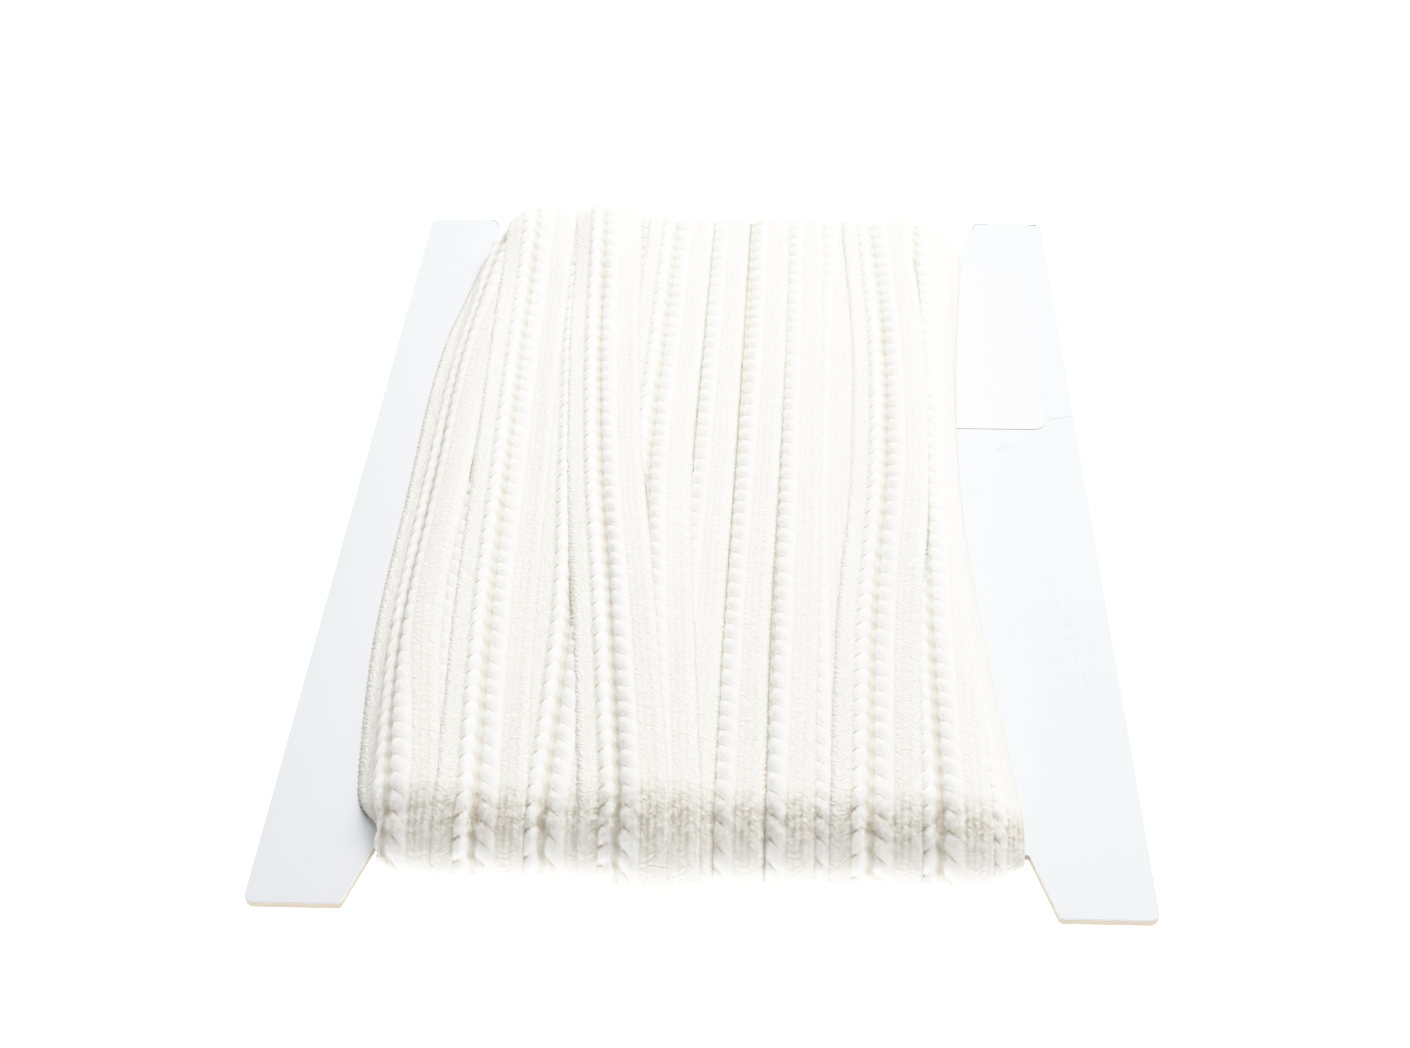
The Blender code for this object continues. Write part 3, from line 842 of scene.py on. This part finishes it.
def stitches_group(settings):
    """Slanting stitches: a herringbone on the left strip, ribs of V's on the right one, fine strands
    on the beads. Gives a height and two masks of painted shade: one in the hollows between stitches,
    and one in the notches between beads, along the groove and along the left strip's border. Across
    is in millimetres, and Along counts beads."""
    name = "stitches"
    if name in bpy.data.node_groups:
        return bpy.data.node_groups[name]
    group = bpy.data.node_groups.new(name, "ShaderNodeTree")
    for label, way in (("Across", "INPUT"), ("Along", "INPUT"),
                       ("Height", "OUTPUT"), ("Hollows", "OUTPUT"), ("Notches", "OUTPUT")):
        group.interface.new_socket(label, in_out=way, socket_type="NodeSocketFloat")
    tree = NodeTree(group)
    entry = tree.node("NodeGroupInput")
    leave = tree.node("NodeGroupOutput")
    across, along = entry.outputs["Across"], entry.outputs["Along"]
    flat = tree.node("ShaderNodeCombineXYZ")
    tree.fill(flat.inputs[0], across)
    tree.fill(flat.inputs[1], tree.math("MULTIPLY", along, settings.bead_pitch))
    wander = tree.noise(flat.outputs[0], 0.55, 0.0, flat=True)
    beats = tree.math("MULTIPLY_ADD", along, 3.0, tree.math("MULTIPLY", wander, 1.6))
    uneven = tree.ramp(tree.noise(flat.outputs[0], 0.9, 1.0, flat=True), 0.25, 0.75)

    def waves(phase):
        """1 halfway between whole numbers, 0 at them."""
        return tree.math("ABSOLUTE", tree.math("SINE", tree.math("MULTIPLY", phase, math.pi)))

    def stitch_columns(start, column, slant, rounded):
        """1 along the middle of slanting stitches that stand in columns, 0 between them."""
        from_start = tree.math("SUBTRACT", across, start)
        fold = tree.math("PINGPONG", from_start, column)
        strokes = waves(tree.math("MULTIPLY_ADD", fold, slant, beats))
        lines = waves(tree.math("DIVIDE", from_start, column))
        return tree.math("MULTIPLY", strokes, tree.math("POWER", lines, rounded))

    def notch_shade(middle, slant, offset, low, high):
        """Painted shade: the dark dots between beads, on the left of their row."""
        phase = tree.math("MULTIPLY_ADD", tree.math("SUBTRACT", across, middle), slant, along)
        away = tree.math("PINGPONG", tree.math("ADD", phase, offset), 0.5)
        away = tree.math("MULTIPLY", away, settings.bead_pitch)
        wedge = tree.math("MULTIPLY_ADD", tree.ramp(across, low, high), 0.5, away)
        return tree.math("MULTIPLY", tree.fall(wedge, 0.1, 0.5), tree.ramp(across, low - 0.4, low))

    def close_to(middle, near, far):
        """1 close to a line along the braid, 0 beyond far."""
        away = tree.math("ABSOLUTE", tree.math("SUBTRACT", across, middle))
        return tree.fall(away, near, far)

    on_left = tree.fall(across, LEFT_STRIP_END - 0.2, LEFT_STRIP_END + 0.2)
    on_right = tree.ramp(across, RIGHT_STRIP_START - 0.2, RIGHT_STRIP_START + 0.2)
    on_strips = tree.math("ADD", on_left, on_right)
    left = stitch_columns(0.0, STITCH_COLUMN, -0.75, 0.4)
    right = stitch_columns(RIGHT_STRIP_START, RIB_COLUMN, -0.55, 0.7)
    strips = tree.math("MULTIPLY_ADD", right, on_right, tree.math("MULTIPLY", left, on_left))

    lean = tree.math("ABSOLUTE", tree.math("SUBTRACT", across, settings.groove))
    strand = waves(tree.math("MULTIPLY_ADD", lean, 1.9, tree.math("MULTIPLY", along, 2.0)))
    off_strips = tree.math("SUBTRACT", 0.35, tree.math("MULTIPLY", on_strips, 0.35))
    height = tree.math("MULTIPLY", strips, tree.math("MULTIPLY_ADD", uneven, 0.6, 0.4))
    tree.fill(leave.inputs["Height"], tree.math("MULTIPLY_ADD", strand, off_strips, height))
    # Painted shade in the hollows between stitches
    hollow_shade_mask = tree.math("POWER", tree.math("SUBTRACT", on_strips, strips), 1.5)
    hollow_shade_mask = tree.math("MULTIPLY", hollow_shade_mask, tree.math("MULTIPLY_ADD", uneven, 0.8, 0.2))
    tree.fill(leave.inputs["Hollows"], tree.math("MULTIPLY", hollow_shade_mask, on_strips))

    # Painted shade: dark dots in the notches between beads, a dark band along the groove and a line along
    # the left strip's border
    left_notch_shade = notch_shade(LEFT_BEADS, 0.15, 0.0, 4.5, 6.6)
    right_notch_shade = notch_shade(RIGHT_BEADS, -0.2, 0.5, 9.0, 11.4)
    turned = tree.math("MULTIPLY", along, 2.0 * math.pi)
    zigzag = tree.math("MULTIPLY_ADD", tree.math("SINE", turned), 0.2, settings.groove - 0.1)
    rung = tree.math("MULTIPLY_ADD", tree.math("COSINE", turned), 0.3, 0.8)
    dark_shade = tree.math("MULTIPLY_ADD", close_to(zigzag, 0.4, 1.05), rung, right_notch_shade)
    dark_shade = tree.math("MULTIPLY_ADD", left_notch_shade, 1.4, dark_shade)
    edge = close_to(LEFT_STRIP_END - 0.05, 0.05, 0.35)
    tree.fill(leave.inputs["Notches"], tree.math("MULTIPLY_ADD", edge, 0.25, dark_shade))
    return group


def braid_material(settings):
    """Ivory yarn, brighter on the beads, with painted shade: warm and darker in crevices, beside higher
    turns, at the edges, in the hollows and notches and across the near fold.
    """
    material, shader, tree = new_material("ivory_yarn", 1.0)
    uv = tree.node("ShaderNodeUVMap", uv_map="braid")
    split = tree.node("ShaderNodeSeparateXYZ")
    tree.fill(split.inputs[0], uv.outputs[0])
    across = tree.math("MULTIPLY", split.outputs[0], settings.width)
    stitches = tree.node("ShaderNodeGroup", node_tree=stitches_group(settings))
    tree.fill(stitches.inputs["Across"], across)
    tree.fill(stitches.inputs["Along"], split.outputs[1])
    crevice = tree.node("ShaderNodeAttribute", attribute_name="crevice").outputs["Fac"]
    fold = tree.node("ShaderNodeAttribute", attribute_name="fold").outputs["Fac"]
    place = tree.place()
    cloudy = tree.noise(place, 60.0, 1.0)
    fuzzy = tree.noise(place, 1900.0, 1.0)
    patchy = tree.ramp(tree.noise(place, 650.0), 0.38, 0.62)

    dull = paint(settings.yarn[:2], 0.96)[:2] + (0.93 * settings.yarn[2], 1.0)
    on_cords = tree.math("MULTIPLY", tree.ramp(across, 4.1, 4.7), tree.fall(across, 11.5, 11.9))
    colour = tree.mix(on_cords, dull, paint(settings.yarn))
    colour = tree.mix(tree.math("MULTIPLY", cloudy, 0.25), colour, dull)
    specks = tree.math("MULTIPLY", tree.ramp(fuzzy, 0.35, 0.7), 0.04)
    colour = tree.mix(specks, colour, paint(settings.painted_shade))
    # Painted shade: warm and darker in crevices, beside higher turns, at the edges and on the hidden back
    colour = tree.mix(tree.math("MULTIPLY", crevice, 0.6), colour, paint(settings.painted_shade))
    # Painted shade across the near fold, mottled, and more of the hollow shade there
    mottled_fold_shade = tree.math("MULTIPLY", fold, tree.math("MULTIPLY_ADD", patchy, 0.8, 0.2))
    dark_shade_share = tree.math("MULTIPLY", mottled_fold_shade, 0.7)
    hollow_shade_share = tree.math("MULTIPLY_ADD", fold, 0.35, 0.13)
    dark_shade_share = tree.math("MULTIPLY_ADD", stitches.outputs["Hollows"], hollow_shade_share, dark_shade_share)
    dark_shade_share = tree.math("MULTIPLY_ADD", stitches.outputs["Notches"], 0.45, dark_shade_share)
    # Painted shade: the yarn mixed towards the dark shade colour in hollows, notches, groove and fold
    tree.fill(shader.inputs["Base Color"], tree.mix(dark_shade_share, colour, paint(settings.dark_shade)))

    shader.subsurface_method = "BURLEY"
    shader.inputs["Specular IOR Level"].default_value = 0.1
    shader.inputs["Subsurface Weight"].default_value = 0.5
    shader.inputs["Subsurface Radius"].default_value = (1.0, 0.88, 0.7)
    shader.inputs["Subsurface Scale"].default_value = 0.0015
    shader.inputs["Sheen Weight"].default_value = 0.15
    shader.inputs["Sheen Roughness"].default_value = 0.5
    height = tree.math("MULTIPLY_ADD", fuzzy, 0.8, stitches.outputs["Height"])
    tree.emboss(shader, height, 0.0002, 0.75)
    return material


def inner_shaded_material(settings):
    """The same yarn seen deep between the outer turns, with painted shade: darkened part way towards the
    crevice colour.
    """
    material, shader, tree = new_material("inner_yarn", 0.9)
    place = tree.place()
    cloudy = tree.math("MULTIPLY_ADD", tree.noise(place, 900.0), 0.4, 0.5)
    # Painted shade: the yarn mixed part way towards the crevice shade colour
    colour = tree.mix(cloudy, paint(settings.painted_shade), paint(settings.yarn))
    tree.fill(shader.inputs["Base Color"], colour)
    tree.emboss(shader, tree.noise(place, 700.0), 0.0004)
    return material


def select_nothing():
    """Leaves no object selected."""
    for item in bpy.context.selected_objects:
        item.select_set(False)


def in_edit_mode(piece, work):
    """Runs work on the piece's mesh in edit mode, with nothing selected at first."""
    select_nothing()
    piece.select_set(True)
    bpy.context.view_layer.objects.active = piece
    bpy.ops.object.mode_set(mode="EDIT")
    bpy.ops.mesh.select_mode(type="EDGE")
    bpy.ops.mesh.select_all(action="DESELECT")
    work(bmesh.from_edit_mesh(piece.data))
    bpy.ops.object.mode_set(mode="OBJECT")


def add_slab(name, low, high):
    """A box from one corner to the other, added as a cube at its size and place."""
    select_nothing()
    middle = (Vector(low) + Vector(high)) / 2
    size = Vector(high) - Vector(low)
    bpy.ops.mesh.primitive_cube_add(size=1.0, location=middle)
    slab = bpy.context.active_object
    slab.name = slab.data.name = name
    slab.scale = size
    bpy.ops.object.transform_apply(location=True, rotation=True, scale=True)
    return slab


def apply_modifier(piece, kind, **values):
    """Adds a modifier with its values and applies it."""
    select_nothing()
    piece.select_set(True)
    bpy.context.view_layer.objects.active = piece
    modifier = piece.modifiers.new(kind.title(), kind)
    for key, value in values.items():
        setattr(modifier, key, value)
    bpy.ops.object.modifier_apply(modifier=modifier.name)


def bevel_upright(offset, segments, chosen):
    """Rounds the upright edges that chosen picks by their place."""
    def work(mesh):
        for edge in mesh.edges:
            first, second = edge.verts
            aligned = (first.co.xy - second.co.xy).length < 1e-6
            upright = aligned and abs(first.co.z - second.co.z) > 1e-5
            edge.select = upright and chosen(first.co)
        bpy.ops.mesh.bevel(offset=offset, segments=segments, affect="EDGES")
    return work


def at_card_corner(place):
    """Whether a place is at one of the card's outer corners."""
    return abs(place.x) > (CARD_HALF_WIDTH - 0.1) * MM


def at_notch_mouth(place):
    """Whether a place is where a notch meets the card's end."""
    at_end = abs(place.y) > (CARD_HALF_LENGTH - 0.1) * MM
    return at_end and abs(place.x) < (NOTCH_MOUTH_HALF + 5.0) * MM


def at_sticker_end(place):
    """Whether a place is at the side of the sticker that the braid leaves bare."""
    return place.x > STICKER_LOW.x


def cut_notch(card, side):
    """Cuts the sloping notch at one end of the card, with a wedge-shaped cutter."""
    line = NOTCH_LINE * MM * side
    end = (CARD_HALF_LENGTH + CUT_BEYOND) * MM * side
    half = NOTCH_FOOT_HALF * MM
    low = (-half, min(line, end), (CARD_BOTTOM - CUT_BEYOND) * MM)
    high = (half, max(line, end), (CARD_TOP + CUT_BEYOND) * MM)
    cutter = add_slab("cutter", low, high)
    slope = (NOTCH_MOUTH_HALF - NOTCH_FOOT_HALF) / NOTCH_DEPTH
    mouth = half + slope * (abs(end) - NOTCH_LINE * MM)

    def widen(mesh):
        for vertex in mesh.verts:
            if abs(vertex.co.y - end) < 1e-6:
                vertex.co.x = math.copysign(mouth, vertex.co.x)
        bmesh.update_edit_mesh(cutter.data)

    in_edit_mode(cutter, widen)
    apply_modifier(card, "BOOLEAN", object=cutter, operation="DIFFERENCE")
    bpy.data.objects.remove(cutter)


class TRIMMING_OT_board(bpy.types.Operator):
    """Makes the board card: notched ends, round corners, a grey core between white facings"""
    bl_idname = "trimming.board"
    bl_label = "Board card"

    def execute(self, context):
        settings = context.scene.trimming_card
        card = add_slab("board_card", CARD_LOW, CARD_HIGH)
        cut_notch(card, 1.0)
        cut_notch(card, -1.0)
        in_edit_mode(card, bevel_upright(settings.corner, 6, at_card_corner))
        in_edit_mode(card, bevel_upright(MOUTH_ROUND * MM, 3, at_notch_mouth))
        apply_modifier(card, "BEVEL", width=settings.rim, segments=2, limit_method="ANGLE",
                       angle_limit=math.radians(60))

        def split_core(mesh):
            for height in (CARD_LOW.z + settings.facing, CARD_HIGH.z - settings.facing):
                bpy.ops.mesh.select_all(action="SELECT")
                bpy.ops.mesh.bisect(plane_co=(0, 0, height), plane_no=(0, 0, 1))

        in_edit_mode(card, split_core)
        card.data.materials.append(board_material(settings))
        card.data.materials.append(core_material(settings))
        core_half = (CARD_HIGH.z - CARD_LOW.z) / 2 - settings.facing
        for face in card.data.polygons:
            in_core = abs(face.center.z - CARD_MIDDLE * MM) < core_half
            face.material_index = 1 if in_core and abs(face.normal.z) < 0.5 else 0
        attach(card, "root")
        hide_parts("card")
        return {"FINISHED"}


def mark_on(tree, place, mark):
    """1 on a short straight mark, 0 away from it. place has no height."""
    x0, y0, x1, y1, half, strength = mark
    start = Vector((x0, y0, 0.0)) * MM
    way = Vector((x1 - x0, y1 - y0, 0.0)) * MM
    from_start = tree.vector("SUBTRACT", place, start)
    share = tree.vector("DOT_PRODUCT", from_start, way / way.length_squared)
    share = tree.math("MAXIMUM", tree.math("MINIMUM", share, 1.0), 0.0)
    away = tree.vector("DISTANCE", from_start, tree.vector("MULTIPLY", way, share))
    return tree.math("MULTIPLY", tree.fall(away, 0.3 * half * MM, 1.2 * half * MM), strength)


def board_material(settings):
    """White facing paper, faintly uneven, with a few rubbed marks."""
    material, shader, tree = new_material("white_facing", 0.5)
    place = tree.place()
    uneven = tree.noise(place, 45.0, 1.0)
    colour = tree.mix(uneven, paint(settings.white), paint(settings.white, 0.97))
    flat = tree.vector("MULTIPLY", place, (1.0, 1.0, 0.0))
    marks = mark_on(tree, flat, MARKS[0])
    for mark in MARKS[1:]:
        marks = tree.math("MAXIMUM", marks, mark_on(tree, flat, mark))
    broken = tree.ramp(tree.noise(place, 1400.0, 1.0), 0.35, 0.6)
    marks = tree.math("MULTIPLY", marks, tree.math("MULTIPLY_ADD", broken, 0.6, 0.4))
    away = tree.vector("DISTANCE", place, Vector(SMUDGE_AT) * MM)
    patchy = tree.ramp(tree.noise(place, 600.0), 0.5, 0.64)
    smudge = tree.math("MULTIPLY", tree.fall(away, 0.0, SMUDGE_SIZE * MM), patchy)
    worn = tree.math("MAXIMUM", marks, tree.math("MULTIPLY", smudge, SMUDGE_SHADE))
    height = tree.node("ShaderNodeSeparateXYZ")
    tree.fill(height.inputs[0], place)
    upper = tree.ramp(height.outputs[2], CARD_MIDDLE * MM, (CARD_TOP - 0.3) * MM)
    worn = tree.math("MULTIPLY", worn, upper)
    tree.fill(shader.inputs["Base Color"], tree.mix(worn, colour, paint(settings.mark)))
    grain = tree.math("SUBTRACT", tree.noise(place, 400.0), worn)
    tree.emboss(shader, grain, 0.0002, 0.15)
    return material


def core_material(settings):
    """The board's cut edge: grey brown pulp with fine layers."""
    material, shader, tree = new_material("board_core", 0.9)
    stretch = tree.node("ShaderNodeMapping")
    stretch.inputs["Scale"].default_value = (1.0, 1.0, 12.0)
    tree.fill(stretch.inputs["Vector"], tree.place())
    pulp = tree.noise(stretch.outputs[0], 500.0, 3.0)
    colour = tree.mix(pulp, paint(settings.core), paint(settings.core, 1.5))
    tree.fill(shader.inputs["Base Color"], colour)
    return material


class TRIMMING_OT_sticker(bpy.types.Operator):
    """Makes the bare paper sticker, its left side under the braid"""
    bl_idname = "trimming.sticker"
    bl_label = "Bare sticker"

    def execute(self, context):
        settings = context.scene.trimming_card
        bottom = CARD_HIGH.z + STICKER_LIFT * MM
        low = (STICKER_LOW.x - STICKER_HIDDEN * MM, STICKER_LOW.y, bottom)
        high = (STICKER_HIGH.x, STICKER_HIGH.y, bottom + settings.paper_thick)
        sticker = add_slab("paper_sticker", low, high)
        in_edit_mode(sticker, bevel_upright(settings.sticker_corner, 8, at_sticker_end))
        sticker.data.materials.append(paper_material(settings))
        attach(sticker, "root")
        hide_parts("sticker")
        return {"FINISHED"}


def paper_material(settings):
    """Smooth white coated paper."""
    material, shader, tree = new_material("sticker_paper", 0.35)
    place = tree.place()
    colour = tree.mix(tree.noise(place, 120.0), paint(settings.paper), paint(settings.paper, 0.985))
    tree.fill(shader.inputs["Base Color"], colour)
    tree.emboss(shader, tree.noise(place, 900.0), 0.0001, 0.1)
    return material


class TRIMMING_OT_stage(bpy.types.Operator):
    """Sets up the white floor, the soft light and the camera"""
    bl_idname = "trimming.stage"
    bl_label = "Floor, light and camera"

    def execute(self, context):
        settings = context.scene.trimming_stage
        select_nothing()
        bpy.ops.mesh.primitive_plane_add(size=FLOOR_SIZE, location=(0.0, 0.0, FLOOR_Z))
        floor = bpy.context.active_object
        floor.name = "floor"
        material, shader, _ = new_material("white_floor", 0.9)
        shader.inputs["Base Color"].default_value = (0.1, 0.1, 0.1, 1.0)
        shader.inputs["Emission Color"].default_value = (1.0, 1.0, 1.0, 1.0)
        shader.inputs["Emission Strength"].default_value = settings.floor_glow
        floor.data.materials.append(material)

        world = bpy.data.worlds.new("soft_light")
        context.scene.world = world
        world.use_nodes = True
        tree = NodeTree(world.node_tree)
        sky = world.node_tree.nodes["Background"]
        sky.inputs["Color"].default_value = (1.0, 1.0, 1.0, 1.0)
        seen = tree.node("ShaderNodeLightPath").outputs["Is Camera Ray"]
        strength = tree.math("MULTIPLY_ADD", seen, settings.floor_glow - settings.sky, settings.sky)
        tree.fill(sky.inputs["Strength"], strength)

        light = bpy.data.lights.new("large_lamp", "AREA")
        light.shape = "RECTANGLE"
        light.size, light.size_y = LAMP_SIZE
        light.energy = settings.lamp
        lamp = bpy.data.objects.new("large_lamp", light)
        lamp.location = LAMP_PLACE
        aim = Vector(LAMP_AIM) - Vector(LAMP_PLACE)
        lamp.rotation_euler = aim.to_track_quat("-Z", "Y").to_euler()
        context.scene.collection.objects.link(lamp)

        camera = bpy.data.cameras.new("camera")
        camera.lens, camera.sensor_width = CAMERA_LENS, CAMERA_SENSOR
        camera.clip_start, camera.clip_end = 0.01, 100.0
        holder = bpy.data.objects.new("camera", camera)
        holder.matrix_world = camera_matrix()
        context.scene.collection.objects.link(holder)
        context.scene.camera = holder
        soften_highlights(context.scene.view_settings)
        return {"FINISHED"}


def soften_highlights(view):
    """A plain view whose brightest tones roll off softly, as in a bright studio picture."""
    view.view_transform = "Standard"
    view.look = "None"
    view.use_curve_mapping = True
    mapping = view.curve_mapping
    mapping.white_level = (WHITE_LEVEL, WHITE_LEVEL, WHITE_LEVEL)
    curve = mapping.curves[3]
    for place, value in HIGHLIGHT_CURVE:
        curve.points.new(place / WHITE_LEVEL, value)
    mapping.update()


def camera_matrix():
    """The camera's place and turn: yaw, then pitch down, then roll."""
    pitch, yaw, roll = (math.radians(v) for v in (CAMERA_PITCH, CAMERA_YAW, CAMERA_ROLL))
    ahead = Vector((math.sin(yaw) * math.cos(pitch), math.cos(yaw) * math.cos(pitch), -math.sin(pitch)))
    right = Vector((math.cos(yaw), -math.sin(yaw), 0.0))
    up = right.cross(ahead)
    turned_right = math.cos(roll) * right + math.sin(roll) * up
    turned_up = math.cos(roll) * up - math.sin(roll) * right
    matrix = Matrix((turned_right, turned_up, -ahead)).transposed().to_4x4()
    matrix.translation = Vector(CAMERA_PLACE)
    return matrix


class TRIMMING_PT_panel(bpy.types.Panel):
    """Lists the pieces and their sizes"""
    bl_label = "Trimming on a card"
    bl_idname = "TRIMMING_PT_panel"
    bl_space_type = "VIEW_3D"
    bl_region_type = "UI"
    bl_category = "Trimming"

    def draw(self, context):
        for kind in OPERATORS:
            self.layout.operator(kind.bl_idname)
        for key, _ in SETTINGS:
            group = getattr(context.scene, key)
            box = self.layout.box()
            for name in group.__annotations__:
                box.prop(group, name)


OPERATORS = (TRIMMING_OT_board, TRIMMING_OT_sticker, TRIMMING_OT_bed, TRIMMING_OT_turns, TRIMMING_OT_stage)
CLASSES = (BraidSettings, CardSettings, StageSettings) + OPERATORS + (TRIMMING_PT_panel,)
SETTINGS = (("trimming_braid", BraidSettings), ("trimming_card", CardSettings),
            ("trimming_stage", StageSettings))


def register():
    for kind in CLASSES:
        bpy.utils.register_class(kind)
    for key, kind in SETTINGS:
        setattr(bpy.types.Scene, key, bpy.props.PointerProperty(type=kind))


def unregister():
    for key, _ in SETTINGS:
        delattr(bpy.types.Scene, key)
    for kind in reversed(CLASSES):
        bpy.utils.unregister_class(kind)


def main():
    register()
    bpy.ops.trimming.board()
    bpy.ops.trimming.sticker()
    bpy.ops.trimming.bed()
    bpy.ops.trimming.turns()
    bpy.ops.trimming.stage()


if __name__ == "__main__":
    main()
